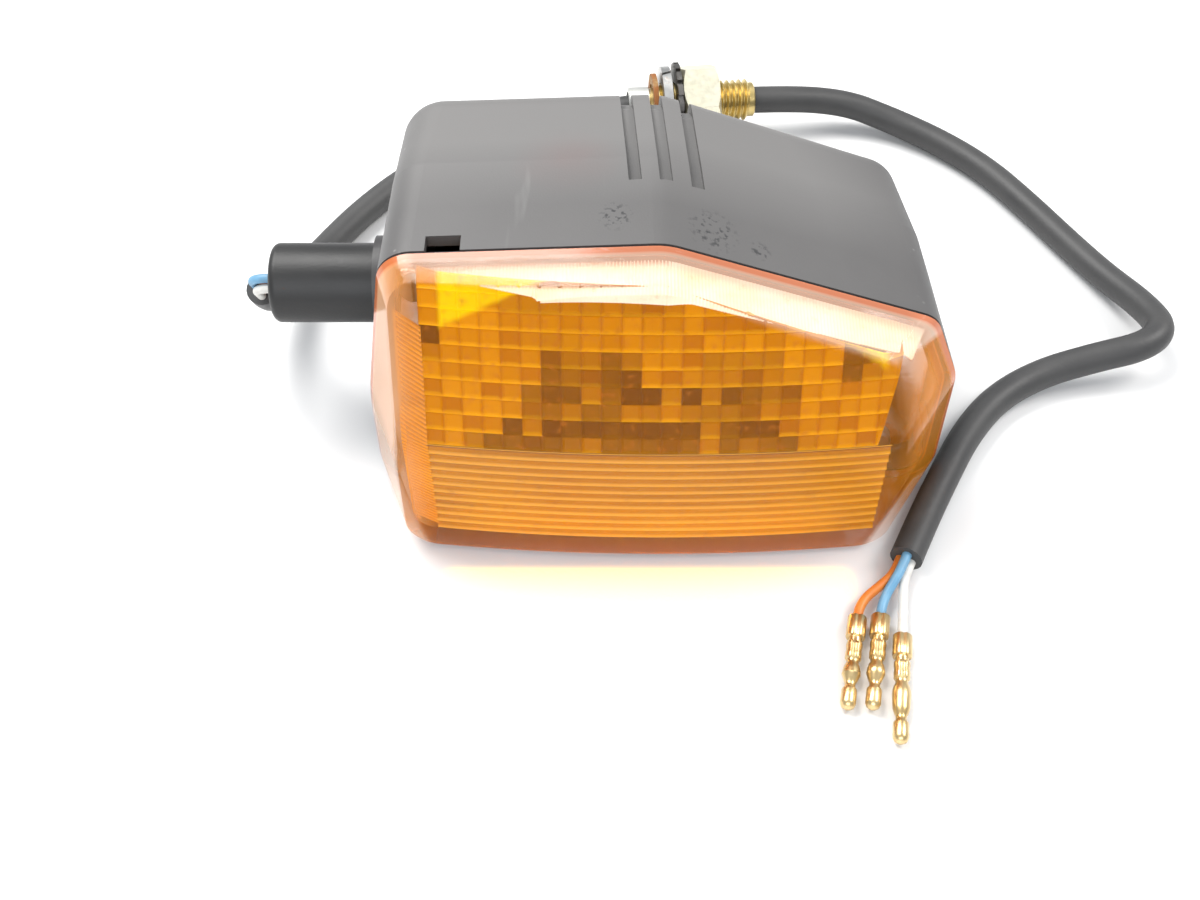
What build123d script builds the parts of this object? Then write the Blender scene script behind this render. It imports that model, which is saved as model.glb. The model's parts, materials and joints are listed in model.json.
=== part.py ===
from build123d import *
import os
from math import cos, pi, radians, sin, tan

# Turn signal lamp for a motorcycle. The lamp lies as it does on a bench: the lens looks
# towards -Y, the stem points to -X, the outer end to +X and the flat underside is z = 0.
# The origin is on the underside, straight below the axis of the stem. Millimetres.

# ---- driving dimensions ----
RIM_Y = -26.0            # plane where the housing and the lens meet
SEAL = 0.6               # thickness of the seal between them
WALL = 2.4               # wall of the housing and of the lens
HALF_WIDTH = 56.25
RIDGE_Z = 64.0           # height of the ridge where the roof changes slope
HOUSING_DEPTH = 51.5     # from the rim back to the rear wall
LENS_DEPTH = 21.5        # how far the nose of the lens stands in front of the rim
LENS_DRAFT_DEPTH = 24.0  # where the front outline of the lens is given
CROWN_R = 371.0          # plan radius of the front of the lens
STEM_Z = 30.0
STEM_R = 8.0
STEM_END_X = -77.6
BULB_X, BULB_Z = 1.0, 31.0
SLEEVE_R = 3.25          # sleeve of the cord
WIRE_R = 0.95
STUD_R = 5.0             # M10 hollow stud
STUD_Z = 10.1

LOW = -0.3               # the outlines reach this far down, and are cut flat at z = 0

# Outlines seen from the front as (x, z) corners: bottom left, left, top left, ridge,
# top right, right, bottom right. Each has a list of corner radii in the same order.
RIM = [(-56.25, LOW), (-56.25, 26), (-50.8, 61.8), (0, RIDGE_Z), (50.2, 46), (56.25, 31), (56.25, LOW)]
RIM_RADII = [8, 60, 7, 12, 6, 10, 8]
MIDDLE = [(-55.6, LOW), (-55.6, 26), (-50.2, 61.1), (0, 63.2), (49.4, 45.4), (54.9, 31), (54.9, LOW)]
REAR = [(-54.4, LOW), (-54.4, 26), (-49.4, 58.6), (0, 60.4), (46.6, 43.2), (51.4, 30), (51.4, LOW)]
REAR_RADII = [8, 60, 9, 14, 8, 10, 8]
FRONT = [(-47.3, 1.5), (-47.3, 26), (-43, 58.2), (-0.5, 60), (33, 48), (41.2, 31), (41.2, 1.5)]
FRONT_RADII = [5.5, 40, 5.5, 10, 5.5, 8, 5.5]

# half section through the bulb, with x outwards from its axis and y towards the lens
SECTION = Plane(origin=(BULB_X, RIM_Y, BULB_Z), x_dir=(1, 0, 0), z_dir=(0, 0, -1))
BULB_AXIS = Axis((BULB_X, RIM_Y, BULB_Z), (0, 1, 0))

os.makedirs("parts", exist_ok=True)


def deliver(part, name):
    """Label a finished piece and write it to its own file."""
    part.label = name
    export_step(part, f"parts/{name}.step")


def front_plane(depth):
    """Plane across the lamp, depth behind the rim, with its normal towards the lens."""
    return Plane.XZ.offset(-RIM_Y - depth)


def outline(corners, radii, depth, inset=0.0):
    """Rounded outline across the lamp, drawn in by inset."""
    with BuildSketch(front_plane(depth)) as shape:
        with BuildLine():
            FilletPolyline(*corners, radius=radii, close=True)
        make_face()
        if inset:
            offset(amount=-inset)
    return shape.sketch


def axis_plane(depth, x=BULB_X, z=BULB_Z):
    """Plane across the bulb's axis, with its origin on that axis."""
    return Plane(origin=(x, RIM_Y + depth, z), x_dir=(1, 0, 0), z_dir=(0, -1, 0))


def turned(profile):
    """Piece of revolution about the bulb's axis, from (radius, depth behind the rim) points."""
    with BuildPart() as piece:
        with BuildSketch(SECTION):
            with BuildLine():
                Polyline(*[(r, -depth) for r, depth in profile], close=True)
            make_face()
        revolve(axis=BULB_AXIS)
    return piece


def tube(points, radius):
    """Round cord along straight runs, joined by arcs as large as the two runs allow."""
    corners = [Vector(*p) for p in points]
    runs = [b - a for a, b in zip(corners, corners[1:])]
    turns = [a.get_angle(b) for a, b in zip(runs, runs[1:])]
    radii = [
        0.45 * min(a.length, b.length) / tan(radians(turn) / 2)
        for a, b, turn in zip(runs, runs[1:], turns)
    ]
    with BuildPart() as cord:
        with BuildLine() as path:
            FilletPolyline(*points, radius=radii)
        with BuildSketch(Plane(origin=points[0], z_dir=runs[0])):
            Circle(radius)
        sweep(path=path.wires()[0])
    length = path.wires()[0].length
    print("radii", [round(r, 1) for r in radii], "length", round(length, 1),
          "volume", round(cord.part.volume / (pi * radius**2 * length), 4))
    return cord.part


def housing_block(inset, depths, rear_radius):
    """Solid of the housing, drawn in by inset, through the three depths."""
    sections = [(RIM, RIM_RADII), (MIDDLE, RIM_RADII), (REAR, REAR_RADII)]
    with BuildPart() as block:
        loft(
            sections=[outline(c, r, depth, inset) for (c, r), depth in zip(sections, depths)],
            ruled=True,
        )
        fillet(block.faces().sort_by(Axis.Y)[-1].edges(), radius=rear_radius)
        split(bisect_by=Plane.XY, keep=Keep.TOP)
    return block


# ---- housing: thin shell, open towards the lens ----
GROOVES_X = (-5.3, 0.4, 6.3)   # at their front ends
GROOVE_W, GROOVE_DEEP = 2.4, 0.9
GROOVE_FRONT = 18.3      # depth behind the rim where the grooves begin
GROOVE_LEAN = 2.8        # degrees: towards the rear wall the grooves run a little to the left
NOTCH = (-42.6, -36.3, 4.2)   # left, right and depth of the pry notch in the roof
POSTS = ((-45.5, 50.5), (44.5, 8.5))   # screw posts for the reflector, as (x, z)
FLANGE_DEPTH, FLANGE_T = 3.2, 1.2
BOSS_OUT_X, BOSS_IN_X, STEM_HOLE_R = -56.6, -50.8, 6.2


def roof(x, depth):
    """Height of the housing's roof."""
    share = depth / HOUSING_DEPTH
    ridge = RIDGE_Z + (60.4 - RIDGE_Z) * share
    slope = -0.3586 if x > 0 else 0.043
    return ridge + slope * x


outer = housing_block(0, (SEAL / 2, 25, HOUSING_DEPTH), 7.8)
cavity = housing_block(WALL, (SEAL / 2, 25, HOUSING_DEPTH - WALL), 5.2)
with BuildPart() as housing_shell:
    add(outer.part)
    stem_plane = Plane(origin=(BOSS_OUT_X, 0, STEM_Z), z_dir=(1, 0, 0))
    with BuildSketch(stem_plane):
        Circle(9.5)
    extrude(amount=3)
    add(cavity.part, mode=Mode.SUBTRACT)
    with BuildSketch(Plane(origin=(BOSS_OUT_X + 1, 0, STEM_Z), z_dir=(1, 0, 0))):
        Circle(9.5)
    extrude(amount=BOSS_IN_X - BOSS_OUT_X - 1)
    with BuildSketch(stem_plane):
        Circle(STEM_HOLE_R)
    extrude(amount=8, mode=Mode.SUBTRACT)
    for x, z in POSTS:
        with BuildSketch(Plane(origin=(x, RIM_Y + HOUSING_DEPTH - 2, z), x_dir=(1, 0, 0), z_dir=(0, -1, 0))):
            Circle(3)
        extrude(amount=HOUSING_DEPTH - 2 - FLANGE_DEPTH - FLANGE_T)
        with BuildSketch(Plane(origin=(x, RIM_Y + 16, z), x_dir=(1, 0, 0), z_dir=(0, -1, 0))):
            Circle(1.3)
        extrude(amount=16, mode=Mode.SUBTRACT)
    for x in GROOVES_X:
        along = (-sin(radians(GROOVE_LEAN)), cos(radians(GROOVE_LEAN)), 0)
        groove_plane = Plane(
            origin=(x, RIM_Y + GROOVE_FRONT, roof(x, GROOVE_FRONT)),
            x_dir=along,
            z_dir=(along[1], -along[0], 0),
        )
        drop = {depth: roof(x, depth) - roof(x, GROOVE_FRONT) - GROOVE_DEEP for depth in (43, 47, 50)}
        with BuildSketch(groove_plane.offset(-GROOVE_W / 2)):
            with BuildLine():
                Polyline(
                    (0, 3),
                    (0, -GROOVE_DEEP),
                    (43 - GROOVE_FRONT, drop[43]),
                    (47.4 - GROOVE_FRONT, drop[47] - 1.9),
                    (50.2 - GROOVE_FRONT, drop[50] - 4.6),
                    (53 - GROOVE_FRONT, drop[50] - 4.6),
                    (53 - GROOVE_FRONT, 3),
                    close=True,
                )
            make_face()
        extrude(amount=GROOVE_W, mode=Mode.SUBTRACT)
    with BuildSketch(Plane.XY.offset(RIDGE_Z - 6)):
        with Locations(((NOTCH[0] + NOTCH[1]) / 2, RIM_Y + NOTCH[2] / 2)):
            Rectangle(NOTCH[1] - NOTCH[0], NOTCH[2])
    extrude(amount=8, mode=Mode.SUBTRACT)
deliver(housing_shell.part, "housing_shell")

# ---- seal between the housing and the lens ----
with BuildPart() as lens_gasket:
    extrude(outline(RIM, RIM_RADII, SEAL / 2, 0.35), amount=SEAL)
    extrude(outline(RIM, RIM_RADII, SEAL / 2, 2.1), amount=SEAL, mode=Mode.SUBTRACT)
deliver(lens_gasket.part, "lens_gasket")


# ---- lens: deep tray with draft all round and a crowned, creased front ----
CROWN_AXIS_Y = RIM_Y - LENS_DEPTH + CROWN_R
NOSE_Z = 30.0
FACE_LEAN = 0.4          # the upper face leans back by this much for each unit of height


def lens_block(inset):
    """Solid of the lens, drawn in by inset: drafted tray cut by the crowned front."""
    back = CROWN_R - LENS_DEPTH
    reach = radians(12)
    with BuildPart() as block:
        loft(
            sections=[
                outline(RIM, RIM_RADII, -SEAL / 2, inset),
                outline(FRONT, FRONT_RADII, -LENS_DRAFT_DEPTH, inset),
            ],
            ruled=True,
        )
        start = Plane(
            origin=(0, CROWN_AXIS_Y, 0),
            x_dir=(-sin(reach), -cos(reach), 0),
            z_dir=(-cos(reach), sin(reach), 0),
        )
        with BuildSketch(start):
            with BuildLine():
                FilletPolyline(
                    (back - 6, -8),
                    (back + LENS_DEPTH - 0.9, -8),
                    (back + LENS_DEPTH, NOSE_Z),
                    (back + LENS_DEPTH - FACE_LEAN * 45, NOSE_Z + 45),
                    (back - 6, NOSE_Z + 45),
                    radius=[0, 0, 7 + inset, 0, 0],
                    close=True,
                )
            make_face()
            if inset:
                offset(amount=-inset)
        revolve(
            axis=Axis((0, CROWN_AXIS_Y, 0), (0, 0, 1)),
            revolution_arc=24,
            mode=Mode.INTERSECT,
        )
        split(bisect_by=Plane.XY, keep=Keep.TOP)
    return block


TONGUE_X, TONGUE_T = 53.35, 1.4   # outer face and thickness of the snap tongues
with BuildPart() as lens:
    add(lens_block(0).part)
    add(lens_block(WALL).part, mode=Mode.SUBTRACT)
    for side in (-1, 1):
        with BuildSketch(Plane.XY.offset(9)):
            with Locations((side * (TONGUE_X - TONGUE_T / 2), RIM_Y + 1)):
                Rectangle(TONGUE_T, 9)
        extrude(amount=8)
deliver(lens.part, "lens")

# ---- reflector: flat flange with a bright bowl, screwed to two posts ----
BOWL_R, BOWL_HOLE_R, BOWL_DEPTH, SHEET = 42.0, 9.0, 27.0, 1.2
FLANGE_INSET = 4.7


def bowl(radius, hole, depth, front):
    """Solid inside of a bowl about the bulb's axis."""
    middle_r = radius * 0.78
    with BuildPart() as body:
        with BuildSketch(SECTION):
            with BuildLine():
                ThreePointArc((radius, -front), (middle_r, -front - (depth - front) * 0.55), (hole, -depth))
                Polyline((hole, -depth), (0, -depth), (0, -front), (radius, -front))
            make_face()
        revolve(axis=BULB_AXIS)
    return body.part


def flange_prism(inset):
    """Prism inside the housing with the flange's outline."""
    with BuildPart() as prism:
        extrude(outline(RIM, RIM_RADII, 40, inset), amount=40 - FLANGE_DEPTH)
    return prism.part


with BuildPart() as reflector:
    add(bowl(BOWL_R + SHEET, BOWL_HOLE_R + 6 + SHEET, BOWL_DEPTH + SHEET, FLANGE_DEPTH))
    add(flange_prism(FLANGE_INSET + 1.0), mode=Mode.INTERSECT)
    extrude(outline(RIM, RIM_RADII, FLANGE_DEPTH + FLANGE_T, FLANGE_INSET), amount=FLANGE_T)
    with BuildPart(mode=Mode.PRIVATE) as hollow:
        add(bowl(BOWL_R, BOWL_HOLE_R + 6, BOWL_DEPTH, FLANGE_DEPTH))
        add(flange_prism(FLANGE_INSET + 1.0 + SHEET), mode=Mode.INTERSECT)
    add(hollow.part, mode=Mode.SUBTRACT)
    with BuildSketch(axis_plane(BOWL_DEPTH + 4)):
        Circle(BOWL_HOLE_R)
        with Locations((-11.8, 0), (11.8, 0)):
            Circle(1.3)
    extrude(amount=8, mode=Mode.SUBTRACT)
    with BuildSketch(front_plane(FLANGE_DEPTH + FLANGE_T + 1)):
        with Locations(*POSTS):
            Circle(1.5)
    extrude(amount=4, mode=Mode.SUBTRACT)
deliver(reflector.part, "reflector")


def pan_screw(plane, shank_r, shank, head_r, head):
    """Screw with a slotted pan head: the plane lies under the head and looks away from it."""
    with BuildPart() as screw:
        with BuildSketch(plane):
            Circle(shank_r)
        extrude(amount=shank)
        with BuildSketch(plane):
            Circle(head_r)
        extrude(amount=-head)
        top = plane.offset(-head)
        head_face = screw.faces().sort_by(Axis(plane.origin, plane.z_dir))[0]
        chamfer(head_face.edges(), length=head * 0.3)
        with BuildSketch(top):
            Rectangle(head_r * 3, 0.7)
        extrude(amount=head * 0.45, mode=Mode.SUBTRACT)
    return screw.part


reflector_screws = [
    pan_screw(Plane(origin=(x, RIM_Y + FLANGE_DEPTH, z), z_dir=(0, 1, 0)), 1.2, 10, 2.8, 1.5)
    for x, z in POSTS
]
deliver(Compound(children=reflector_screws), "reflector_screws")

# ---- bulb holder: bayonet tube riveted behind the bowl ----
SOCKET_R, SOCKET_BORE = 8.6, 7.75
SOCKET_FRONT, SOCKET_BACK = 20.0, 47.5
PIN_DEPTH = 30.0         # bulb pins at rest
PUSH = 1.5               # how far the bulb can be pushed in
TWIST = 20               # degrees between the seat and the entry slot
with BuildPart() as socket_shell:
    with BuildSketch(axis_plane(SOCKET_BACK)):
        Circle(SOCKET_R)
    extrude(amount=SOCKET_BACK - SOCKET_FRONT)
    with BuildSketch(axis_plane(SOCKET_BACK - 1)):
        Circle(SOCKET_BORE)
    extrude(amount=SOCKET_BACK, mode=Mode.SUBTRACT)
    with BuildSketch(axis_plane(BOWL_DEPTH + SHEET + 1)):
        Circle(14.6)
        Circle(SOCKET_R - 0.1, mode=Mode.SUBTRACT)
        with Locations((-11.8, 0), (11.8, 0)):
            Circle(1.3, mode=Mode.SUBTRACT)
    extrude(amount=1)
    for side in (-1, 1):
        entry_z = side * SOCKET_R * sin(radians(TWIST))
        with BuildSketch(Plane.XY.offset(BULB_Z + min(0, entry_z) - 1.3)):
            with Locations((BULB_X + side * SOCKET_R, RIM_Y + PIN_DEPTH + PUSH / 2)):
                Rectangle(4.4, PUSH + 2.5)
        extrude(amount=abs(entry_z) + 2.6, mode=Mode.SUBTRACT)
        with BuildSketch(Plane.XY.offset(BULB_Z + entry_z - 1.3)):
            with Locations((BULB_X + side * SOCKET_R, RIM_Y + (SOCKET_FRONT + PIN_DEPTH) / 2)):
                Rectangle(4.4, PIN_DEPTH - SOCKET_FRONT + 1)
        extrude(amount=2.6, mode=Mode.SUBTRACT)
    with BuildSketch(Plane.YZ.offset(BULB_X - SOCKET_R - 1)):
        with Locations((RIM_Y + 44.4, BULB_Z)):
            Rectangle(3.4, 9.4)
    extrude(amount=4, mode=Mode.SUBTRACT)
deliver(socket_shell.part, "socket_shell")

# two screws behind the bowl; the left one also holds the earth terminal
TERMINAL_T = 0.6
back_of_flange = BOWL_DEPTH + SHEET + 1
with BuildPart() as earth_terminal:
    with BuildSketch(Plane(origin=(BULB_X - 11.8, RIM_Y + back_of_flange + TERMINAL_T, BULB_Z),
                           x_dir=(1, 0, 0), z_dir=(0, -1, 0))):
        Circle(2.7)
        with Locations((-4.6, 0)):
            Rectangle(6, 2.6)
        Circle(1.35, mode=Mode.SUBTRACT)
    extrude(amount=TERMINAL_T)
deliver(earth_terminal.part, "earth_terminal")

socket_screws = [
    pan_screw(
        Plane(origin=(BULB_X + side * 11.8, RIM_Y + back_of_flange + lift, BULB_Z), z_dir=(0, -1, 0)),
        1.15, 3.6, 2.5, 1.3,
    )
    for side, lift in ((-1, TERMINAL_T), (1, 0))
]
deliver(Compound(children=socket_screws), "socket_screws")

# ---- sprung contact plate ----
CONTACT_DEPTH = 39.0     # where the bulb's contacts end
CONTACTS_X = (-3.2, 3.2)
contact_plate = turned([(0, CONTACT_DEPTH + 0.6), (7.4, CONTACT_DEPTH + 0.6), (7.4, CONTACT_DEPTH + 2), (0, CONTACT_DEPTH + 2)])
with BuildPart() as plate_with_holes:
    add(contact_plate.part)
    with BuildSketch(axis_plane(CONTACT_DEPTH + 3)):
        with Locations(*[(x, 0) for x in CONTACTS_X]):
            Circle(1.0)
    extrude(amount=4, mode=Mode.SUBTRACT)
deliver(plate_with_holes.part, "contact_plate")

with BuildPart() as plate_contacts:
    with BuildSketch(axis_plane(CONTACT_DEPTH + 2.5)):
        with Locations(*[(x, 0) for x in CONTACTS_X]):
            Circle(0.9)
    extrude(amount=2.5)
    with BuildSketch(axis_plane(CONTACT_DEPTH + 0.6)):
        with Locations(*[(x, 0) for x in CONTACTS_X]):
            Circle(1.7)
    extrude(amount=0.6)
deliver(plate_contacts.part, "plate_contacts")

SPRING_R, SPRING_WIRE_R = 1.7, 0.3
with BuildPart() as contact_spring:
    with BuildLine() as coil:
        Helix(
            pitch=1.05,
            height=3.2,
            radius=SPRING_R,
            center=(BULB_X, RIM_Y + CONTACT_DEPTH + 2.35, BULB_Z),
            direction=(0, 1, 0),
        )
    with BuildSketch(Plane(origin=coil.line @ 0, z_dir=coil.line % 0)):
        Circle(SPRING_WIRE_R)
    sweep(is_frenet=True)
deliver(contact_spring.part, "contact_spring")

# ---- bulb: two-contact bayonet bulb with a blown glass envelope ----
BASE_R, GLASS_R, GLASS_T = 7.45, 12.5, 0.7
bulb_base = turned([
    (6.95, 22), (BASE_R, 22), (BASE_R, 37), (6.2, 37.6), (5.0, 37.6), (5.0, 36.8), (6.95, 36.2),
])
with BuildPart() as bulb_base_with_pins:
    add(bulb_base.part)
    for side in (-1, 1):
        with BuildSketch(Plane(origin=(BULB_X + side * 7.1, RIM_Y + PIN_DEPTH, BULB_Z), z_dir=(side, 0, 0))):
            Circle(1.0)
        extrude(amount=1.3)
deliver(bulb_base_with_pins.part, "bulb_base")

bulb_insulator = turned([(0, 35.4), (4.9, 35.4), (4.9, 38.0), (0, 38.0)])
deliver(bulb_insulator.part, "bulb_insulator")

with BuildPart() as bulb_contacts:
    with BuildSketch(axis_plane(CONTACT_DEPTH)):
        with Locations(*[(x, 0) for x in CONTACTS_X]):
            Circle(1.4)
    extrude(amount=1.0)
    fillet(bulb_contacts.faces().sort_by(Axis.Y)[-1].edges(), radius=0.5)
deliver(bulb_contacts.part, "bulb_contacts")


NECK_R, NECK_END, BLOWN_END = 6.8, 32.0, 21.0


def envelope(gap, end):
    """Half section of the glass envelope, drawn in by gap and running back to end."""
    big = GLASS_R - gap
    with BuildSketch(SECTION) as half:
        with BuildLine():
            Polyline((0, -end), (NECK_R - gap, -end), (NECK_R - gap, -BLOWN_END))
            Bezier((NECK_R - gap, -BLOWN_END), (NECK_R - gap, -16), (big, -13), (big, -4.5))
            CenterArc((0, -4.5), big, 0, 90)
            Line((0, big - 4.5), (0, -end))
        make_face()
    return half.sketch


glass_wall = envelope(0, NECK_END) - envelope(GLASS_T, NECK_END + 1)
with BuildPart() as bulb_glass:
    revolve(glass_wall, axis=BULB_AXIS)
deliver(bulb_glass.part, "bulb_glass")

bulb_stem = turned([(0, 32), (4.6, 32), (4.2, 29), (2.2, 25), (1.8, 15), (0, 15)])
deliver(bulb_stem.part, "bulb_stem")

FILAMENTS = ((-4.2, 7.0), (4.2, 4.0))   # x and depth of the two filaments
with BuildPart() as bulb_filaments:
    for x, depth in FILAMENTS:
        for end in (-4.5, 4.5):
            with BuildSketch(Plane(origin=(BULB_X + x, RIM_Y + 27, BULB_Z + end * 0.25),
                                   z_dir=(0, -(27 - depth), end * 0.75))):
                Circle(0.25)
            extrude(amount=((27 - depth) ** 2 + (end * 0.75) ** 2) ** 0.5)
        with BuildSketch(Plane(origin=(BULB_X + x, RIM_Y + depth, BULB_Z - 4.9), z_dir=(0, 0, 1))):
            Circle(0.4)
        extrude(amount=9.8)
deliver(bulb_filaments.part, "bulb_filaments")

# ---- stem: hollow tube with a threaded spigot, clamped by a nut inside the housing ----
STEM_BORE, SPIGOT_R, SPIGOT_END_X = 2.6, 5.6, -43.5
GROMMET_R, GROMMET_L = 4.5, 6.0


def stem_disc(x):
    """Plane across the stem."""
    return Plane(origin=(x, 0, STEM_Z), x_dir=(0, 1, 0), z_dir=(1, 0, 0))


with BuildPart() as stem_tube:
    with BuildSketch(stem_disc(STEM_END_X)):
        Circle(STEM_R)
    extrude(amount=BOSS_OUT_X - STEM_END_X)
    fillet(stem_tube.faces().sort_by(Axis.X)[0].edges(), radius=1.5)
    with BuildSketch(stem_disc(BOSS_OUT_X)):
        Circle(SPIGOT_R)
    extrude(amount=SPIGOT_END_X - BOSS_OUT_X)
    with BuildSketch(stem_disc(STEM_END_X)):
        Circle(STEM_BORE)
    extrude(amount=SPIGOT_END_X - STEM_END_X, mode=Mode.SUBTRACT)
    with BuildSketch(stem_disc(STEM_END_X)):
        Circle(GROMMET_R)
    extrude(amount=GROMMET_L, mode=Mode.SUBTRACT)
deliver(stem_tube.part, "stem_tube")

with BuildPart() as stem_grommet:
    with BuildSketch(stem_disc(STEM_END_X + 0.4)):
        Circle(GROMMET_R)
        Circle(2.3, mode=Mode.SUBTRACT)
    extrude(amount=GROMMET_L - 0.4)
deliver(stem_grommet.part, "stem_grommet")

with BuildPart() as stem_washer:
    with BuildSketch(stem_disc(BOSS_IN_X)):
        Circle(9.0)
        Circle(SPIGOT_R + 0.3, mode=Mode.SUBTRACT)
    extrude(amount=1.0)
deliver(stem_washer.part, "stem_washer")

with BuildPart() as stem_locknut:
    with BuildSketch(stem_disc(BOSS_IN_X + 1.0)):
        RegularPolygon(8.0, 6, major_radius=False)
        Circle(SPIGOT_R + 0.06, mode=Mode.SUBTRACT)
    extrude(amount=4.0)
deliver(stem_locknut.part, "stem_locknut")

# ---- three wires: from the bulb holder through the stem, then round a bend to the mouth of the sleeve ----
BEND = Vector(-81.6, 0, STEM_Z)
SLEEVE_WAY = Vector(0, 0.55, -0.835)
BEND_RUN = 6.4
WIRE_SEATS = {"blue": (0.0, 1.15), "orange": (1.05, -0.65), "white": (-1.05, -0.65)}
WIRE_ENDS = {
    "blue": [(-31, 8, 33), (-20, 15.5, 33.6), (-9.6, 18.5, 33.6), (-3.4, 18.5, 33.4)],
    "orange": [(-31, 8.2, 29), (-20, 15.3, 28.2), (-9.6, 18.5, 27.9), (4.2, 18.5, 27.9)],
    "white": [(-32, 1.5, 30.4), (-24, 4.6, 31), (-14.6, 4.9, 31)],
}
for colour, (dy, dz) in WIRE_SEATS.items():
    outward = Vector(0, dy, dz).dot(SLEEVE_WAY) * -1   # how far the wire lies on the bend's outer side
    corner = BEND + Vector(-outward, dy, dz)
    mouth = corner + SLEEVE_WAY * (BEND_RUN + outward)
    straight = [tuple(mouth), tuple(corner), (-40, dy, STEM_Z + dz)]
    deliver(tube(straight + WIRE_ENDS[colour], WIRE_R), f"inner_wire_{colour}")

# ---- cord sleeve, rear part: starts beside the stem's mouth, drops to the bench and runs
# behind the lamp into the stud ----
STUD_START, STUD_END = (-4.75, 84.0, STUD_Z), (26.45, 87.0, STUD_Z)
CORD_JOIN = (9, 85.322, STUD_Z)   # the two halves of the sleeve meet inside the stud
REAR_ROUTE = [
    (-81.6, 3.52, 24.656),   # the mouth, square to the bent wires
    (-82.0, 8.4, 17.3),
    (-81.3, 17.8, 10.2),
    (-78.8, 29, 5.8),
    (-74.3, 41, 4.0),
    (-67, 54, 3.5),
    (-57, 66.5, 3.4),
    (-43.5, 74.6, 3.4),
    (-27.2, 79.3, 4.2),
    (-9.6, 83.534, STUD_Z),
    CORD_JOIN,
]
deliver(tube(REAR_ROUTE, SLEEVE_R), "cord_sleeve_rear")

# ---- cord sleeve, front part: from the stud round the outer end of the lamp ----
FRONT_ROUTE = [
    CORD_JOIN,
    (29, 87.245, STUD_Z),
    (49, 90.2, 7.2),
    (61.5, 86.4, 4.2),
    (73, 78.5, 3.4),
    (82.6, 68, 3.4),
    (90, 55.5, 3.4),
    (97.5, 41, 3.4),
    (103.4, 29.5, 3.9),
    (108.6, 18.6, 6),
    (110.8, 8.6, 8.2),
    (105.6, 3.2, 8.2),
    (95, 1.6, 6.4),
    (83, -1, 4.2),
    (72.5, -7.5, 3.4),
    (64.5, -17.5, 3.4),
    (58.2, -29, 3.4),
    (52.2, -40.5, 3.4),
    (47.9, -49.5, 3.4),
]
deliver(tube(FRONT_ROUTE, SLEEVE_R), "cord_sleeve_front")

# ---- hollow stud and its loose hardware, threaded on the cord ----
stud_axis = Vector(*STUD_END) - Vector(*STUD_START)
STUD_LENGTH = stud_axis.length
STUD_BORE, PILOT_R, PILOT_L = 3.6, 4.6, 5.5
RELIEF_ALONG, RELIEF_W, RELIEF_DEEP = 22.3, 1.0, 0.5   # groove where the free thread begins


def on_stud(along):
    """Plane across the stud, at a distance from its smooth end, with its x towards +Z."""
    return Plane(origin=STUD_START, x_dir=(0, 0, 1), z_dir=stud_axis).offset(along)


with BuildPart() as hollow_stud:
    with BuildSketch(on_stud(0)):
        Circle(PILOT_R)
    extrude(amount=PILOT_L)
    with BuildSketch(on_stud(PILOT_L)):
        Circle(STUD_R)
    extrude(amount=STUD_LENGTH - PILOT_L)
    chamfer(hollow_stud.faces().sort_by(Axis.X)[-1].edges(), length=0.7)
    with BuildSketch(on_stud(RELIEF_ALONG)):
        Circle(STUD_R + 1)
        Circle(STUD_R - RELIEF_DEEP, mode=Mode.SUBTRACT)
    extrude(amount=RELIEF_W, mode=Mode.SUBTRACT)
    with BuildSketch(on_stud(0)):
        Circle(STUD_BORE)
    extrude(amount=STUD_LENGTH, mode=Mode.SUBTRACT)
deliver(hollow_stud.part, "hollow_stud")


def washer(along, thickness, outer_r, bore_r):
    """Flat washer on the stud."""
    with BuildPart() as ring:
        with BuildSketch(on_stud(along)):
            Circle(outer_r)
            Circle(bore_r, mode=Mode.SUBTRACT)
        extrude(amount=thickness)
    return ring.part


deliver(washer(PILOT_L + 0.4, 1.2, 7.6, STUD_R + 0.2), "thin_washer")

# split ring with its ends sprung apart along the stud
SPRING_WASHER_T = 2.2
with BuildPart() as spring_washer:
    add(washer(8.2, SPRING_WASHER_T, 9.2, STUD_R + 0.25))
    with BuildSketch(Plane(origin=on_stud(8.2).origin, x_dir=on_stud(0).z_dir, z_dir=(0, 0, 1))):
        with BuildLine():
            Polyline((-1, -0.9), (SPRING_WASHER_T + 1, 0.5), (SPRING_WASHER_T + 1, 1.3), (-1, -0.1), close=True)
        make_face()
    extrude(amount=12, mode=Mode.SUBTRACT)
deliver(spring_washer.part, "spring_washer")

TEETH = 16
with BuildPart() as toothed_washer:
    with BuildSketch(on_stud(11.6)):
        Circle(10.0)
        Circle(STUD_R + 0.2, mode=Mode.SUBTRACT)
        with PolarLocations(9.9, TEETH):
            Rectangle(2.2, 1.3, mode=Mode.SUBTRACT)
    extrude(amount=1.2)
deliver(toothed_washer.part, "toothed_washer")

NUT_AF, NUT_T, NUT_ALONG = 17.0, 9.0, 13.1
NUT_CORNER_R, NUT_CHAMFER = 9.8, 0.9
with BuildPart() as mounting_nut:
    with BuildSketch(on_stud(NUT_ALONG)):
        RegularPolygon(NUT_AF / 2, 6, major_radius=False)
    extrude(amount=NUT_T)
    with BuildSketch(Plane(origin=on_stud(NUT_ALONG).origin, x_dir=(0, 0, 1), z_dir=on_stud(0).y_dir)):
        with BuildLine():
            Polyline(
                (0, 0), (8.4, 0), (NUT_CORNER_R, -NUT_CHAMFER), (NUT_CORNER_R, NUT_CHAMFER - NUT_T),
                (8.4, -NUT_T), (0, -NUT_T), close=True,
            )
        make_face()
    revolve(axis=Axis(STUD_START, tuple(stud_axis)), mode=Mode.INTERSECT)
    with BuildSketch(on_stud(NUT_ALONG)):
        Circle(STUD_R + 0.08)
    extrude(amount=NUT_T, mode=Mode.SUBTRACT)
deliver(mounting_nut.part, "mounting_nut")

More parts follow.
